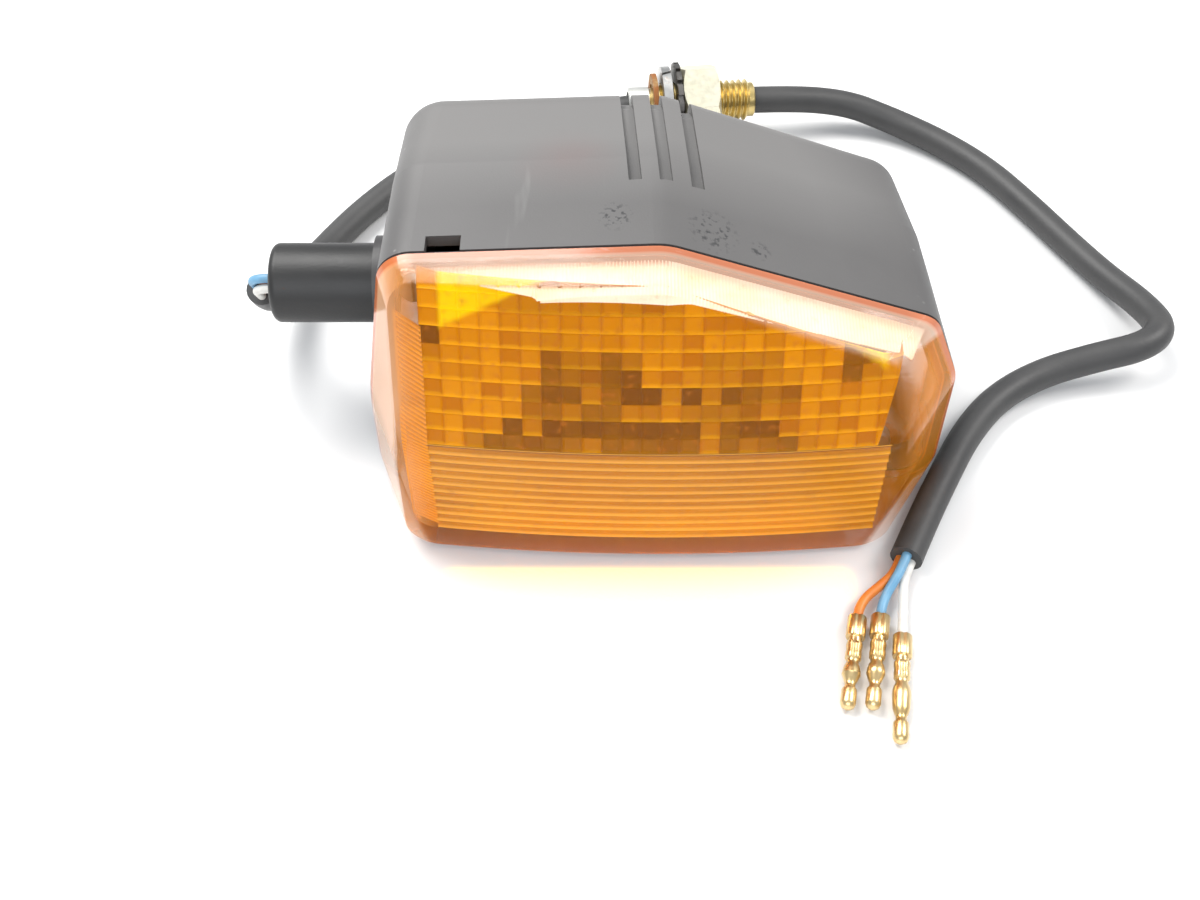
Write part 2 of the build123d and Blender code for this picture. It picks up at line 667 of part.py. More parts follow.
# ---- leads and bullet terminals at the front end of the cord ----
BULLETS = {
    "orange": ((37.2, -62.4, 2.0), (33.2, -82.0, 1.75), (-1.1, -0.6)),
    "blue": ((41.6, -62.2, 2.1), (37.8, -82.0, 1.75), (0, 1.2)),
    "white": ((45.2, -66.6, 2.1), (42.0, -89.0, 1.75), (1.1, -0.6)),
}
BULLET_R, CRIMP_R = 1.7, 1.85
sleeve_end = Vector(*FRONT_ROUTE[-1])
end_way = (sleeve_end - Vector(*FRONT_ROUTE[-2])).normalized()


def bullet(root, tip):
    """Bullet terminal: open insulation crimp, wire crimp, waist and round-nosed bullet."""
    root, tip = Vector(*root), Vector(*tip)
    way = tip - root
    length = way.length
    base = Plane(origin=root, x_dir=(0, 0, 1), z_dir=way)
    stations = [
        (0.0, CRIMP_R), (4.6, CRIMP_R), (4.9, 1.3), (6.0, 1.3), (6.3, 1.5), (9.4, 1.5), (9.8, 1.15),
        (10.6, 1.15), (11.2, BULLET_R), (length - 6.0, BULLET_R), (length - 5.4, 1.0),
        (length - 4.4, 1.0), (length - 3.9, 1.45), (length - 0.8, 1.45), (length, 0.8),
    ]
    with BuildPart() as terminal:
        with BuildSketch(Plane(origin=root, x_dir=base.x_dir, z_dir=base.y_dir)):
            with BuildLine():
                Polyline((0, 0), *[(r, -s) for s, r in stations], (0, -length), close=True)
            make_face()
        revolve(axis=Axis(tuple(root), tuple(way)))
        with BuildSketch(base):
            Circle(WIRE_R + 0.05)
        extrude(amount=3.6, mode=Mode.SUBTRACT)
    return terminal.part


sleeve_mouth = Plane(origin=sleeve_end, x_dir=(-end_way.Y, end_way.X, 0), z_dir=end_way)
for colour, (root, tip, (across, up)) in BULLETS.items():
    way = (Vector(*tip) - Vector(*root)).normalized()
    first = sleeve_end + sleeve_mouth.x_dir * across + Vector(0, 0, up)
    route = [first, first + end_way * 4.5, Vector(*root) - way * 3.5, Vector(*root) + way * 3.5]
    deliver(tube([tuple(p) for p in route], WIRE_R), f"lead_{colour}")
    deliver(bullet(root, tip), f"bullet_{colour}")
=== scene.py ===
import json
import math
import bpy
from mathutils import Matrix, Vector


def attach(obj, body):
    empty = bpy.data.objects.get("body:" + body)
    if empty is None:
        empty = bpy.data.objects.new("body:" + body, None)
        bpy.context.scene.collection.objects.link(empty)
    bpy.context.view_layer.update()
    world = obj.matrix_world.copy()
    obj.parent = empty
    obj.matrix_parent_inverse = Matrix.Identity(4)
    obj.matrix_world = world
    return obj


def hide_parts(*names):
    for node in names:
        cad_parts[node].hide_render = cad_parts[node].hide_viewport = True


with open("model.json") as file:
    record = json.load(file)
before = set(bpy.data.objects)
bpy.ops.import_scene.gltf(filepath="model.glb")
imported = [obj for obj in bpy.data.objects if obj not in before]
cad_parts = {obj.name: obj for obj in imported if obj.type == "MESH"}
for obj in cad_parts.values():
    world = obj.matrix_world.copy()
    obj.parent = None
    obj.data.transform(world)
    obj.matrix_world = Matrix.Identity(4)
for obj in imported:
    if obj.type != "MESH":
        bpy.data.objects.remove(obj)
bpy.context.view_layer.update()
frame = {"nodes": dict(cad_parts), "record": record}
nodes = frame["nodes"]
mm = 0.001
bpy.ops.object.select_all(action="DESELECT")

# ---- camera, floor and light ----
stage = {
    "cameraPlace": (-0.01175, -0.2212, 0.2409), "cameraTilt": 40.0, "focal": 45.0,
    "floorSize": 6.0, "floorColor": (0.80, 0.80, 0.80, 1.0), "floorRoughness": 0.22,
    "world": (0.93, 0.96, 1.0, 1.0), "worldStrength": 0.62,
}
bpy.ops.object.camera_add(location=stage["cameraPlace"], rotation=(math.radians(stage["cameraTilt"]), 0, 0))
camera = bpy.context.object
camera.data.lens = stage["focal"]
camera.data.sensor_width = 36.0
camera.data.clip_start = 0.005
bpy.context.scene.camera = camera
world = bpy.data.worlds.new("studio")
world.use_nodes = True
world.node_tree.nodes["Background"].inputs["Color"].default_value = stage["world"]
world.node_tree.nodes["Background"].inputs["Strength"].default_value = stage["worldStrength"]
bpy.context.scene.world = world
bpy.context.scene.view_settings.view_transform = "Standard"
lamps = [  # place, aim, size, watts, colour
    ((-0.35, 0.30, 0.75), (0, 0, 0), 0.5, 9.0, (1.0, 0.99, 0.97)),
    ((0.55, 0.10, 0.60), (0, 0, 0.02), 0.35, 4.0, (1.0, 0.98, 0.95)),
    ((-0.10, -0.70, 0.45), (0, 0, 0.02), 0.6, 3.5, (0.95, 0.97, 1.0)),
]
for place, aim, size, watts, color in lamps:
    bpy.ops.object.light_add(type="AREA", location=place)
    lamp = bpy.context.object
    lamp.rotation_euler = (Vector(aim) - Vector(place)).to_track_quat("-Z", "Y").to_euler()
    lamp.data.size = size
    lamp.data.energy = watts
    lamp.data.color = color
print("stage set")


# ---- shader maths ----
class Sock:  # one value in a material, with arithmetic that adds Math nodes
    def __init__(self, finish, link):
        self.finish = finish
        self.link = link

    def math(self, operation, first, second=0.0, clamp=False):
        return self.finish.node("Math", {"operation": operation, "use_clamp": clamp}, {0: first, 1: second})

    def __add__(self, other):
        return self.math("ADD", self, other)

    def __sub__(self, other):
        return self.math("SUBTRACT", self, other)

    def __rsub__(self, other):
        return self.math("SUBTRACT", other, self)

    def __mul__(self, other):
        return self.math("MULTIPLY", self, other)

    def __truediv__(self, other):
        return self.math("DIVIDE", self, other)

    def __pow__(self, other):
        return self.math("POWER", self, other)

    def __lt__(self, other):
        return self.math("LESS_THAN", self, other)

    def __gt__(self, other):
        return self.math("GREATER_THAN", self, other)

    __radd__ = __add__
    __rmul__ = __mul__

    def clamped(self):
        return self.math("ADD", self, 0.0, True)

    def distance(self):
        return self.math("ABSOLUTE", self)

    def whole(self):
        return self.math("FLOOR", self)

    def rest(self):
        return self.math("FRACT", self)

    def root(self):
        return self.math("SQRT", self)

    def between(self, low, high, soft):  # 1 inside the range, soft at its ends
        rise = ((self - (low - soft)) / (2 * soft)).clamped()
        return rise * (((high + soft) - self) / (2 * soft)).clamped()

    def most(self, other):
        return self.math("MAXIMUM", self, other)


class Finish:  # a material; constant values go on the shader's own sockets
    def __init__(self, name, **constants):
        self.material = bpy.data.materials.new(name)
        self.material.use_nodes = True
        self.tree = self.material.node_tree
        self.shader = self.tree.nodes["Principled BSDF"]
        for socket, value in constants.items():
            self.shader.inputs[socket.replace("_", " ")].default_value = value
        place = self.node("TexCoord", {}, {}, "Object")
        self.place = place
        parts = self.tree.nodes.new("ShaderNodeSeparateXYZ")
        self.tree.links.new(place.link, parts.inputs[0])
        self.x, self.y, self.z = (Sock(self, parts.outputs[i]) for i in range(3))

    def node(self, kind, settings, inputs, output=0):
        made = self.tree.nodes.new("ShaderNode" + kind)
        for setting, value in settings.items():
            setattr(made, setting, value)
        for socket, value in inputs.items():
            if isinstance(value, Sock):
                self.tree.links.new(value.link, made.inputs[socket])
            else:
                made.inputs[socket].default_value = value
        return Sock(self, made.outputs[output])

    def noise(self, scale, detail=3.0, roughness=0.55, at=None):
        inputs = {"Vector": at or self.place, "Scale": scale, "Detail": detail, "Roughness": roughness}
        return self.node("TexNoise", {}, inputs, "Fac")

    def cells(self, scale):
        return self.node("TexVoronoi", {}, {"Vector": self.place, "Scale": scale}, "Distance")

    def stretched(self, scale):  # the place, scaled by a different amount along each axis
        return self.node("Mapping", {}, {"Vector": self.place, "Scale": scale})

    def blend(self, share, first, second):
        first = first if isinstance(first, Sock) else (*first, 1.0)
        second = second if isinstance(second, Sock) else (*second, 1.0)
        return self.node("Mix", {"data_type": "RGBA"}, {0: share, 6: first, 7: second}, 2)

    def put(self, socket, value):
        if isinstance(value, Sock):
            self.tree.links.new(value.link, self.shader.inputs[socket])
        else:
            self.shader.inputs[socket].default_value = (*value, 1.0) if isinstance(value, tuple) else value

    def bump(self, height, depth, strength=1.0):
        return self.node("Bump", {}, {"Height": height, "Distance": depth, "Strength": strength}, "Normal")


# ---- finishes ----
def blackPlastic():
    look = {"gloss": 0.40, "grain": 2400}
    made = Finish("blackPlastic", IOR=1.5, Specular_IOR_Level=0.6)
    grain = made.noise(look["grain"], 2.0)
    cloud = made.noise(38, 4.0)
    # rear and roof mark where the roof is painted lighter as sheen; roof also limits the rubbed patches
    rear = ((made.y + 0.014) / 0.020).clamped()
    roof = ((made.z - 0.040) / 0.012).clamped()
    scratches = made.noise(260, 2.0, at=made.stretched((1.0, 0.12, 0.6)))
    scratchMask = ((scratches - 0.66) * 9).clamped() * ((made.noise(30, 1.0) - 0.5) * 6).clamped()
    specks = (0.17 - made.cells(420)).clamped() * 8
    edge = (((made.x.distance() - 0.046) / 0.008).clamped() * ((made.noise(60, 1.0) - 0.42) * 5).clamped())
    dust = (specks.clamped() * edge).clamped()
    # three scraped patches on the roof near the lens
    patches = None
    for px, py, radius in ((-0.009, -0.018, 0.0034), (0.0085, -0.019, 0.0052), (0.017, -0.021, 0.0022)):
        away = ((made.x - px) ** 2 + ((made.y - py) * 0.8) ** 2).root()
        spot = (1 - away / radius).clamped()
        patches = spot if patches is None else patches.most(spot)
    rubbed = ((patches * 2).clamped() * ((made.noise(900, 3.0) - 0.52) * 9).clamped() * roof).clamped()
    # painted sheen: the roof is lighter than the sides and lighter still towards the rear, where it catches
    # the light above
    base = made.blend(roof, (0.040, 0.038, 0.039), (0.090, 0.087, 0.086))
    base = made.blend(rear * roof, base, (0.150, 0.146, 0.143))
    base = made.blend((cloud - 0.3).clamped() * 0.5, base, (0.13, 0.126, 0.124))
    base = made.blend(scratchMask * 0.25, base, (0.30, 0.30, 0.29))
    base = made.blend(rubbed * 0.85, base, (0.020, 0.020, 0.022))
    base = made.blend(dust, base, (0.62, 0.61, 0.59))
    fromSmear = ((made.x + 0.018) ** 2 + (made.y + 0.001) ** 2).root()
    smear = (1 - (fromSmear / 0.011)).clamped() * ((cloud - 0.3) * 2).clamped()
    base = made.blend(smear * 0.3, base, (0.20, 0.06, 0.05))
    made.put("Base Color", base)
    worn = rubbed * 0.3 + dust * 0.3 + scratchMask * 0.2
    made.put("Roughness", (look["gloss"] + cloud * 0.14 + rear * 0.06 + worn).clamped())
    made.put("Normal", made.bump(grain * 0.6 + rubbed * 1.5 + cloud * 0.4, 0.00009, 0.35))
    return made.material


def satinBlack(name, tone, gloss, grain, depth):
    made = Finish(name, IOR=1.48)
    cloud = made.noise(70, 4.0)
    dark, light = (tone * 0.7, tone * 0.7, tone * 0.74), (tone * 1.7, tone * 1.68, tone * 1.65)
    made.put("Base Color", made.blend(cloud, dark, light))
    lint = ((0.11 - made.cells(300)) * 12).clamped() * ((made.noise(45, 1.0) - 0.55) * 5).clamped()
    made.put("Roughness", (gloss + cloud * 0.18 + lint * 0.2).clamped())
    made.put("Normal", made.bump(made.noise(grain, 3.0), depth, 0.6))
    return made.material


def metal(name, bright, dull, gloss, rust=0.0, rustColor=(0.23, 0.09, 0.03)):
    made = Finish(name)
    cloud = made.noise(160, 5.0)
    fine = made.noise(900, 3.0)
    spots = ((made.noise(240, 5.0, 0.65) - (0.72 - 0.42 * rust)) * 9).clamped()
    base = made.blend(((cloud - 0.3) * 2).clamped(), dull, bright)
    made.put("Base Color", made.blend(spots * min(1.0, rust * 2), base, rustColor))
    made.put("Metallic", (1 - spots * min(1.0, rust * 1.6)).clamped())
    made.put("Roughness", (gloss + fine * 0.16 + spots * 0.4).clamped())
    made.put("Normal", made.bump(fine + spots * 0.8, 0.00008, 0.5))
    return made.material


def wirePlastic(name, color, shade):
    made = Finish(name, IOR=1.5)
    cloud = made.noise(300, 3.0)
    grime = ((made.noise(120, 4.0) - 0.52) * 4).clamped()
    made.put("Base Color", made.blend(grime * 0.45, made.blend(cloud, shade, color), (0.09, 0.07, 0.05)))
    made.put("Roughness", (0.32 + cloud * 0.15 + grime * 0.25).clamped())
    made.put("Normal", made.bump(cloud, 0.00006, 0.4))
    return made.material


def amberSkin():  # outer wall of the lens: clear from the front, milky on its sides and at a low angle; painted reflection pales its left side and top, painted shade darkens its foot
    look = {"clear": 0.03, "gloss": 0.05}
    made = Finish("amberSkin", IOR=1.5, Specular_IOR_Level=0.5)
    cloud = made.noise(45, 3.0)
    sheen = made.node("LayerWeight", {}, {"Blend": 0.30}, "Facing")
    front = ((-0.0405 - made.y) * 300).clamped()
    side = ((made.x.distance() - 0.0440) / 0.006).clamped() * (1 - front * 0.5)
    left = side * (made.x < 0.0)
    top = ((made.z - 0.0608 + made.x.most(made.x * 0) * 0.36) * 900).clamped()
    seam = ((made.y + 0.0285) * 900).clamped()
    base = made.blend(cloud * 0.6, (0.95, 0.30, 0.008), (1.0, 0.42, 0.02))
    # painted reflection: the left side is paled by the pale floor seen through its clear wall and reflected
    # in it
    base = made.blend(left * 0.75, base, (0.82, 0.52, 0.34))
    # painted reflection: the top is paled where it faces the bright light above
    base = made.blend(top * 0.85, base, (0.95, 0.76, 0.62))
    base = made.blend(seam * 0.85, base, (0.42, 0.075, 0.006))
    # painted shade: the foot of the wall is darkened where it meets the floor
    foot = ((0.0019 - made.z) * 1500).clamped()
    base = made.blend(foot, base, (0.40, 0.085, 0.012))
    made.put("Base Color", base)
    milky = foot * 0.6 + sheen * 0.2 + left * 0.33 + side * 0.28 + top * 0.2 + seam * 0.5
    made.put("Alpha", (look["clear"] + milky + cloud * 0.04).clamped())
    hair = ((made.noise(500, 2.0, at=made.stretched((0.15, 1.0, 0.5))) - 0.68) * 8).clamped()
    made.put("Roughness", (look["gloss"] + cloud * 0.06 + hair * 0.25).clamped())
    made.put("Normal", made.bump(made.noise(900, 2.0), 0.00003, 0.4))
    return made.material


optics = {  # moulded optics inside the lens wall, in millimetres
    "cellWide": 3.6, "cellHigh": 3.2, "left": -43.9, "bottom": 29.4, "columns": 25, "rows": 11,
    "wall": 2.5, "dimple": 0.4, "sheet": 0.25, "flutePitch": 2.35, "fluteStart": 3.4, "fluteDeep": 0.75,
    "fluteRows": 11, "ribDeep": 0.13, "slantPitch": 0.9, "slantFall": 2.8, "slantWide": 4.8, "slantRows": 52,
}


def amberPrisms():  # square prisms of the main face; colour goes cell by cell, with painted light, shade, reflection and glow
    made = Finish("amberPrisms", IOR=1.5, Specular_IOR_Level=0.12)
    wide, high = optics["cellWide"] * mm, optics["cellHigh"] * mm
    column = ((made.x - optics["left"] * mm) / wide).whole()
    row = ((made.z - optics["bottom"] * mm) / high).whole()
    middleX = (column + 0.5) * wide + optics["left"] * mm
    middleZ = (row + 0.5) * high + optics["bottom"] * mm
    cellPlace = made.node("CombineXYZ", {}, {0: column * 1.37 + 0.5, 1: row * 2.11 + 0.5, 2: 0.3})
    luck = made.node("TexWhiteNoise", {}, {"Vector": cellPlace}, "Value")
    cloud = made.noise(90, 4.0)
    dirt = ((made.noise(650, 4.0) - 0.56) * 7).clamped()
    base = made.blend(luck * 0.9, (0.44, 0.150, 0.0), (0.58, 0.225, 0.001))
    base = made.blend(((luck * 7.3).rest() > 0.72) * 0.6, base, (0.30, 0.070, 0.001))
    acrossCell = (((made.x - optics["left"] * mm) / wide).rest() - 0.5).distance() * 2
    upCell = ((made.z - optics["bottom"] * mm) / high).rest()
    # painted light and shade on each prism: darker along its sides and top, lighter along its bottom edge
    base = made.blend(((acrossCell - 0.84) * 9).clamped() * 0.45, base, (0.30, 0.075, 0.002))
    base = made.blend(((upCell - 0.86) * 9).clamped() * 0.55, base, (0.26, 0.062, 0.002))
    base = made.blend(((0.2 - upCell) * 6).clamped() * 0.55, base, (0.80, 0.40, 0.01))
    shades = [  # painted shade on cells where the bowl and bulb behind look dark: middle x, middle z, half width, half height, depth of shade
        (-13, 45.5, 8.5, 3.4, 0.85), (-12, 40.2, 12.5, 3.0, 0.95), (13, 40.4, 11.5, 3.0, 0.95),
        (14, 45.4, 7.0, 1.9, 0.5), (-4, 34.4, 26, 1.9, 0.9), (-14, 58.8, 17, 2.2, 0.55),
        (-43, 48, 2.6, 3.6, 0.95), (36, 46, 4.2, 4.6, 0.8), (-4, 31.2, 31, 1.7, 0.75),
        (-20, 51.5, 4, 1.4, 0.4), (20, 55, 5, 1.4, 0.5),
    ]
    dark = None
    for x, z, halfX, halfZ, depth in shades:
        spot = middleX.between((x - halfX) * mm, (x + halfX) * mm, 0.0012)
        spot = spot * middleZ.between((z - halfZ) * mm, (z + halfZ) * mm, 0.0006) * depth
        dark = spot if dark is None else dark.most(spot)
    darkShare = (dark * ((luck + 0.12) * 1.6).clamped() * (0.8 + cloud * 0.5)).clamped()
    base = made.blend(darkShare, base, (0.085, 0.022, 0.003))
    # painted reflection: pale yellow where the flat reflector corners at top left and top right shine
    # through the prisms
    flatLeft = ((-0.018 - made.x - (0.062 - made.z) * 2.0) * 420).clamped()
    flatLeft = flatLeft * ((made.x + 0.0408) * 900).clamped()
    flatRight = ((made.x * 0.72 + made.z - 0.0718) * 420).clamped() * ((0.0405 - made.x) * 900).clamped()
    flat = (flatLeft + flatRight).clamped() * (0.78 + luck * 0.22)
    base = made.blend(flat.clamped(), base, (0.80, 0.56, 0.0))
    base = made.blend(dirt * 0.5, base, (0.36, 0.09, 0.006))
    made.put("Base Color", base)
    # painted glow: the prisms emit their own colour, standing in for light that passes through the lens
    made.put("Emission Color", base)
    made.shader.inputs["Emission Strength"].default_value = 0.22
    made.put("Roughness", (0.12 + cloud * 0.1 + dirt * 0.2).clamped())
    made.put("Normal", made.bump(cloud + dirt, 0.00012, 0.4))
    return made.material


def amberFlutes(name, pale, mid, deep, glow, lines=0.0, slanted=False):
    made = Finish(name, IOR=1.5, Specular_IOR_Level=0.2)
    cloud = made.noise(75, 4.0)
    long = made.noise(120, 3.0, at=made.stretched((0.25, 1.0, 2.0)))
    dirt = ((made.noise(420, 5.0, 0.7) - 0.58) * 7).clamped()
    base = made.blend(((cloud - 0.25) * 1.8).clamped(), mid, pale)
    base = made.blend(((long - 0.5) * 3).clamped() * 0.6, base, deep)
    if lines:  # painted shade across the upper half of each flute and a painted highlight across its lowest quarter
        pitch = optics["flutePitch"] * mm
        valley = ((made.z - optics["fluteStart"] * mm) / pitch).rest()
        base = made.blend(((valley - 0.50) * 5).clamped() * lines, base, deep)
        base = made.blend(((0.26 - valley) * 6).clamped() * lines * 0.8, base, (0.78, 0.40, 0.04))
    if slanted:
        # painted shade along each slanted line
        slope = (made.z + made.x * (optics["slantFall"] / optics["slantWide"])) / (optics["slantPitch"] * mm)
        base = made.blend(((slope.rest() - 0.55) * 6).clamped() * 0.7, base, deep)
    base = made.blend(dirt * 0.4, base, (deep[0] * 0.5, deep[1] * 0.5, deep[2] * 0.5))
    made.put("Base Color", base)
    # painted glow: the sheet emits its own colour at strength glow, standing in for light that passes
    # through the lens
    made.put("Emission Color", base)
    made.shader.inputs["Emission Strength"].default_value = glow
    made.put("Roughness", (0.12 + cloud * 0.12 + dirt * 0.2).clamped())
    made.put("Normal", made.bump(cloud, 0.0001, 0.3))
    return made.material


def clearGlass():
    made = Finish("clearGlass", IOR=1.5, Transmission_Weight=0.9)
    cloud = made.noise(80, 3.0)
    made.put("Base Color", made.blend(cloud, (0.96, 0.98, 0.98), (0.90, 0.93, 0.93)))
    made.put("Roughness", (0.02 + cloud * 0.03).clamped())
    made.put("Alpha", (0.30 + cloud * 0.1).clamped())
    return made.material


finishes = {
    "black_plastic": blackPlastic(),
    "stem_plastic": satinBlack("stemPlastic", 0.013, 0.36, 1500, 0.00006),
    "seal_rubber": satinBlack("sealRubber", 0.010, 0.62, 1800, 0.00010),
    "sleeve_vinyl": satinBlack("sleeveVinyl", 0.040, 0.42, 900, 0.00010),
    "amber_lens": amberSkin(),
    "bright_reflector": metal("brightReflector", (0.95, 0.95, 0.93), (0.88, 0.88, 0.86), 0.06),
    "zinc_steel": metal("zincSteel", (0.66, 0.66, 0.64), (0.42, 0.42, 0.41), 0.30, 0.25),
    "yellow_zinc": metal(
        "yellowZinc", (0.93, 0.90, 0.76), (0.76, 0.72, 0.54), 0.30, 0.10, (0.34, 0.24, 0.12)),
    "dark_steel": metal("darkSteel", (0.24, 0.23, 0.22), (0.10, 0.095, 0.09), 0.36, 0.30),
    "rusty_steel": metal(
        "rustySteel", (0.48, 0.34, 0.17), (0.30, 0.19, 0.08), 0.42, 0.75, (0.27, 0.10, 0.025)),
    "brass": metal("brass", (0.86, 0.67, 0.36), (0.62, 0.44, 0.20), 0.24, 0.14, (0.16, 0.09, 0.04)),
    "solder": metal("solder", (0.62, 0.62, 0.62), (0.40, 0.40, 0.40), 0.4),
    "filament": metal("filament", (0.42, 0.42, 0.43), (0.25, 0.25, 0.26), 0.4),
    "insulator": satinBlack("insulator", 0.05, 0.5, 900, 0.0001),
    "clear_glass": clearGlass(),
    "wire_blue": wirePlastic("wireBlue", (0.20, 0.42, 0.60), (0.11, 0.28, 0.46)),
    "wire_orange": wirePlastic("wireOrange", (0.80, 0.26, 0.04), (0.55, 0.13, 0.02)),
    "wire_white": wirePlastic("wireWhite", (0.82, 0.81, 0.77), (0.62, 0.60, 0.56)),
}
slotOf = {entry["node"]: entry["material_slot"] for entry in frame["record"]["subparts"]}
for name, node in nodes.items():
    node.data.materials.clear()
    node.data.materials.append(finishes[slotOf[name]])
print("finishes on", len(nodes), "CAD nodes")


# ---- floor ----
def paleFloor():
    made = Finish("paleFloor", Specular_IOR_Level=0.5)
    cloud = made.noise(3, 3.0)
    color = stage["floorColor"][:3]
    made.put("Base Color", made.blend(cloud * 0.4, color, tuple(c * 0.97 for c in color)))
    made.put("Roughness", (stage["floorRoughness"] + cloud * 0.05).clamped())
    return made.material


bpy.ops.mesh.primitive_plane_add(size=stage["floorSize"], location=(0, 0, -0.0001))
floor = bpy.context.object
floor.name = "floor"
floor.data.materials.append(paleFloor())


# ---- helpers for new pieces ----
def finished(piece, name, body, slot, material=None, smooth=35):
    # puts the place into the mesh, names the piece and gives it its body and finish
    bpy.ops.object.select_all(action="DESELECT")
    piece.select_set(True)
    bpy.context.view_layer.objects.active = piece
    bpy.ops.object.transform_apply(location=True, rotation=True, scale=True)
    if smooth:
        bpy.ops.object.shade_smooth_by_angle(angle=math.radians(smooth))
    piece.name = name
    piece.data.name = name
    piece.data.materials.clear()
    piece.data.materials.append(material or finishes[slot])
    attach(piece, body)
    return piece


def apply(piece, kind, **settings):
    # adds one modifier and applies it
    bpy.ops.object.select_all(action="DESELECT")
    piece.select_set(True)
    bpy.context.view_layer.objects.active = piece
    modifier = piece.modifiers.new(kind.lower(), kind)
    for setting, value in settings.items():
        setattr(modifier, setting, value)
    bpy.ops.object.modifier_apply(modifier=modifier.name)


def chosen(piece, test):
    # in edit mode, selects only the points that pass the test
    bpy.ops.mesh.select_mode(type="VERT")
    bpy.ops.mesh.select_all(action="DESELECT")
    bpy.ops.object.mode_set(mode="OBJECT")
    for vertex in piece.data.vertices:
        vertex.select = bool(test(vertex))
    bpy.ops.object.mode_set(mode="EDIT")


def lathe(profile, origin, along, steps=64):
    # closed ring-shaped piece: (radius, distance) points turned about an axis
    origin, along = Vector(origin), Vector(along).normalized()
    out = along.orthogonal().normalized()
    mesh = bpy.data.meshes.new("lathe")
    points = [origin + out * r * mm + along * s * mm for r, s in profile]
    count = len(points)
    mesh.from_pydata(points, [(i, (i + 1) % count) for i in range(count)], [])
    piece = bpy.data.objects.new("lathe", mesh)
    bpy.context.collection.objects.link(piece)
    bpy.ops.object.select_all(action="DESELECT")
    piece.select_set(True)
    bpy.context.view_layer.objects.active = piece
    bpy.ops.object.mode_set(mode="EDIT")
    bpy.ops.mesh.select_all(action="SELECT")
    bpy.ops.mesh.spin(steps=steps, angle=2 * math.pi, center=origin, axis=along)
    bpy.ops.mesh.select_all(action="SELECT")
    bpy.ops.mesh.remove_doubles(threshold=0.000002)
    bpy.ops.mesh.normals_make_consistent(inside=False)
    bpy.ops.object.mode_set(mode="OBJECT")
    return piece


# ---- optics inside the lens ----
def onLens(name, corner, across, up, columns, rows, toward, shift, trims=()):
    # flat grid in front of the lens, trimmed, laid on its wall and moved inside it
    corner, across, up = Vector(corner) * mm, Vector(across) * mm, Vector(up) * mm
    bpy.ops.mesh.primitive_grid_add(x_subdivisions=columns, y_subdivisions=rows, size=2)
    piece = bpy.context.object
    turn = Matrix((across / 2, up / 2, across.cross(up).normalized())).transposed().to_4x4()
    piece.data.transform(Matrix.Translation(corner + across / 2 + up / 2) @ turn)
    bpy.ops.object.mode_set(mode="EDIT")
    for at, normal in trims:
        bpy.ops.mesh.select_all(action="SELECT")
        bpy.ops.mesh.bisect(plane_co=[v * mm for v in at], plane_no=normal, clear_outer=True)
    bpy.ops.object.mode_set(mode="OBJECT")
    axis = "XYZ"["xyz".index(toward[-1])]
    forward = toward[0] == "+"
    settings = {"use_project_" + axis.lower(): True, "use_negative_direction": not forward,
                "use_positive_direction": forward, "cull_face": "BACK"}
    apply(piece, "SHRINKWRAP", target=nodes["lens"], wrap_method="PROJECT", **settings)
    piece.data.transform(Matrix.Translation([v * mm for v in shift]))
    return piece


def solid(piece, name, material, thickness, smooth):
    apply(piece, "SOLIDIFY", thickness=thickness * mm, offset=0)
    return finished(piece, name, "lens", "amber_lens", material, smooth)


prismWide = optics["cellWide"] * optics["columns"]
prismHigh = optics["cellHigh"] * optics["rows"]
prisms = onLens(
    "prisms", (optics["left"], -70, optics["bottom"]), (prismWide, 0, 0), (0, 0, prismHigh),
    optics["columns"], optics["rows"], "+y", (0, optics["wall"] * 1.08, 0),
    trims=[
        ((0, -70, 60.2), (0.34, 0, 1)), ((0, -70, 60.2), (0.025, 0, 1)), ((39.6, -70, 29.6), (1, 0, -0.2)),
    ],
)
bpy.ops.object.mode_set(mode="EDIT")
bpy.ops.mesh.select_all(action="SELECT")
bpy.ops.mesh.inset(thickness=0.0005, depth=-optics["dimple"] * mm, use_individual=True)
bpy.ops.object.mode_set(mode="OBJECT")
solid(prisms, "lensPrisms", amberPrisms(), optics["sheet"], 0)

lower = onLens(
    "flutes", (-43.8, -70, optics["fluteStart"]), (86.0, 0, 0),
    (0, 0, optics["flutePitch"] * optics["fluteRows"]), 28, optics["fluteRows"] * 4, "+y",
    (0, optics["wall"], 0),
)
quarter = optics["flutePitch"] * mm / 4
bpy.ops.object.mode_set(mode="EDIT")
for wanted, depth in ((2, 1.0), (1, 0.7), (3, 0.7)):  # each flute is an arc of four strips
    chosen(lower, lambda v: round((v.co.z - optics["fluteStart"] * mm) / quarter) % 4 == wanted)
    bpy.ops.transform.translate(value=(0, optics["fluteDeep"] * depth * mm, 0))
bpy.ops.object.mode_set(mode="OBJECT")
fluteAmber = amberFlutes(
    "amberFlutes", (0.46, 0.18, 0.012), (0.40, 0.135, 0.008), (0.15, 0.062, 0.034), 0.11, lines=1.0)
solid(lower, "lensFlutes", fluteAmber, optics["sheet"], 50)

